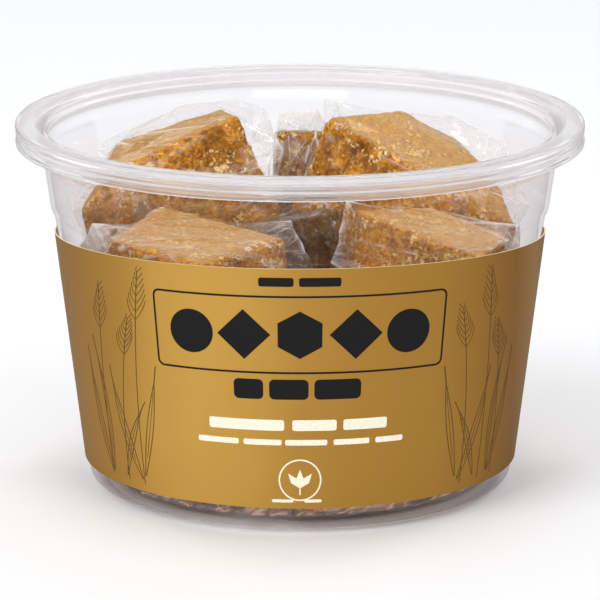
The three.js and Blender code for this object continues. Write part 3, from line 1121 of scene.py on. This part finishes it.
# Two lines just inside the tub's wall and the curve at its foot: radius, height and slope.
GATHER_REACH = [(47.2, 4.5, 0.117), (45.2, 2.6, 1.1)]
GATHER_THIN, GATHER_THICK = 1.3, 3.5  # of the tube, at its top, and more than that at its foot
FOLD_DEPTH = 1.5
GATHER_SLACK = 1.6
GATHER_COLOUR = (0.97, 0.76, 0.60)  # of film with sugar dust in its folds


def gathered_film(name, middle, seed):
    """A flattened tube of crumpled film round the foot of a lower block, against the wall."""
    rng = np.random.default_rng(100 + seed)
    span = math.radians(GATHER_SPAN)
    heading = math.atan2(middle.y, middle.x)
    vertices, faces, ridges, loops = [], [], [], []
    for column in range(GATHER_COLUMNS + 1):
        loop = []
        for inside, rows in ((False, range(GATHER_ROWS)), (True, reversed(range(GATHER_ROWS)))):
            for row in rows:
                share = row / (GATHER_ROWS - 1)
                height = GATHER_LOW + (GATHER_HIGH - GATHER_LOW) * share
                height = max(height + rng.uniform(-0.35, 0.35), GATHER_LOW)
                reach = min(r + slope * (height - z) for r, z, slope in GATHER_REACH)
                fold = rng.random()
                layer = GATHER_THIN + GATHER_THICK * (1 - share) if inside else 0.0
                radius = reach - layer - FOLD_DEPTH * fold
                turn = column + rng.uniform(-0.45, 0.45) + 0.5 * row
                angle = heading + span * (2 * turn / GATHER_COLUMNS - 1)
                loop.append(len(vertices))
                vertices.append((radius * math.cos(angle), radius * math.sin(angle), height))
                ridges.append(1.0 if fold < 0.3 else 0.2 * rng.random())
        loops.append(loop)
    for first, last in zip(loops, loops[1:]):
        for k in range(len(first)):
            faces.append((first[k - 1], first[k], last[k]))
            faces.append((first[k - 1], last[k], last[k - 1]))
    faces += [tuple(reversed(loops[0])), tuple(loops[-1])]
    mesh = mesh_of(name, [(x * MM, y * MM, z * MM) for x, y, z in vertices], faces)
    set_values(mesh, slack=[GATHER_SLACK] * len(vertices), ridge=ridges)
    return mesh


def make_blocks():
    sugar = jaggery()
    entries = [(name, upper_form(block), block, FINE_GRID) for name, block in UPPER.items()]
    for quarter, (name, (top, skew)) in enumerate(LOWER.items()):
        entries.append((name, lower_form(quarter, top, skew), PLAIN, PLAIN_GRID))
    for seed, (name, form, block, grid) in enumerate(entries, start=1):
        mesh, inside = shape_jaggery(name, form, seed, grid)
        add_object(name.replace("block", "jaggery"), mesh, [sugar], "jaggery", [name])
        film = shape_film(name, form, block, inside, seed)
        wrap = clear_film(block["grain"], VEILS.get(name, VEIL))
        add_object(name.replace("block", "film"), film, [wrap], "film", [name])
        if name in LOWER:
            middle = sum(form[0], Vector()) / 8
            foot = gathered_film(name.replace("block", "film_foot"), middle, seed)
            wrap = clear_film(PLAIN["grain"], FOOT_VEIL, GATHER_COLOUR)
            add_object(foot.name, foot, [wrap], "film", [name])


# ---- Stage and light ----
FLOOR_HALF, FLOOR_HEIGHT = 4.0, -0.0001  # metres
FLOOR_COLOUR, MIRRORED_FLOOR = (0.81, 0.818, 0.834), (0.25, 0.25, 0.25)
SKY_FRONT, SKY_BACK = (0.12, 0.12, 0.125), (1.0, 1.0, 1.0)
SKY_POWER, EVEN_POWER = 0.75, 0.72
LIGHT_TARGET = (0, 0, 0.04)
LIGHTS = [  # name, place and size in metres, power in watts, whether it shows in mirrors
    ("key", (-1.1, -1.1, 1.5), (1.0, 1.0), 20.0, True),
    ("front", (1.0, -1.3, 1.5), (1.0, 1.0), 9.0, True),
    ("top", (0.0, 0.1, 1.9), (0.8, 0.8), 7.0, True),
    ("low", (0.0, -1.7, 0.16), (1.4, 0.25), 7.0, False),
    ("back_left", (-1.2, 1.2, 1.4), (0.6, 0.6), 5.0, True),
    ("back_right", (1.2, 1.2, 1.4), (0.6, 0.6), 7.0, True),
]


def make_stage():
    """A pale floor, darker where something shiny mirrors it."""
    turns = ((-1, -1), (1, -1), (1, 1), (-1, 1))
    corners = [(x * FLOOR_HALF, y * FLOOR_HALF, FLOOR_HEIGHT) for x, y in turns]
    mesh = mesh_of("floor", corners, [(0, 1, 2, 3)])
    s = Shader("floor")
    pale = s.principled(Base_Color=FLOOR_COLOUR, Roughness=0.7)
    dark = s.principled(Base_Color=MIRRORED_FLOOR, Roughness=0.7)
    mirrored = s.math("SUBTRACT", s.ray("Glossy"), s.ray("Transmission"), clamp=True)
    mesh.materials.append(s.finish(s.mix_shaders(mirrored, pale, dark)))
    floor = bpy.data.objects.new("floor", mesh)
    scene.collection.objects.link(floor)


def area_light(name, place, size, power, mirrored):
    data = bpy.data.lights.new(name, "AREA")
    data.shape = "RECTANGLE"
    data.size, data.size_y = size
    data.energy = power
    made = bpy.data.objects.new(name, data)
    made.visible_glossy = mirrored
    made.location = place
    way = Vector(LIGHT_TARGET) - Vector(place)
    made.rotation_euler = way.to_track_quat("-Z", "Y").to_euler()
    scene.collection.objects.link(made)


def make_light():
    """A studio that is white behind the tub and dark in front, and even where it lights."""
    s = Shader("studio", world=True)
    y = s.node("SeparateXYZ", Vector=s.place).outputs["Y"]
    span = s.node("MapRange", Value=y, From_Min=-1.0).outputs[0]
    ramp = s.node("ValToRGB", Fac=span)
    stops = ramp.color_ramp.elements
    for stop, position, colour in zip(stops, (0.5, 0.8), (SKY_FRONT, SKY_BACK)):
        stop.position = position
        stop.color = (*colour, 1)
    sky = s.node("Background", Color=ramp.outputs[0], Strength=SKY_POWER).outputs[0]
    even = s.node("Background", Strength=EVEN_POWER).outputs[0]
    scene.world = s.finish(s.mix_shaders(s.ray("Diffuse"), sky, even))
    for light in LIGHTS:
        area_light(*light)


scene.view_settings.view_transform = "Standard"
scene.cycles.transparent_max_bounces = 32
scene.cycles.max_bounces = 20
scene.cycles.transmission_bounces = 16

make_tub()
make_label()
make_print()
make_blocks()
make_stage()
make_light()
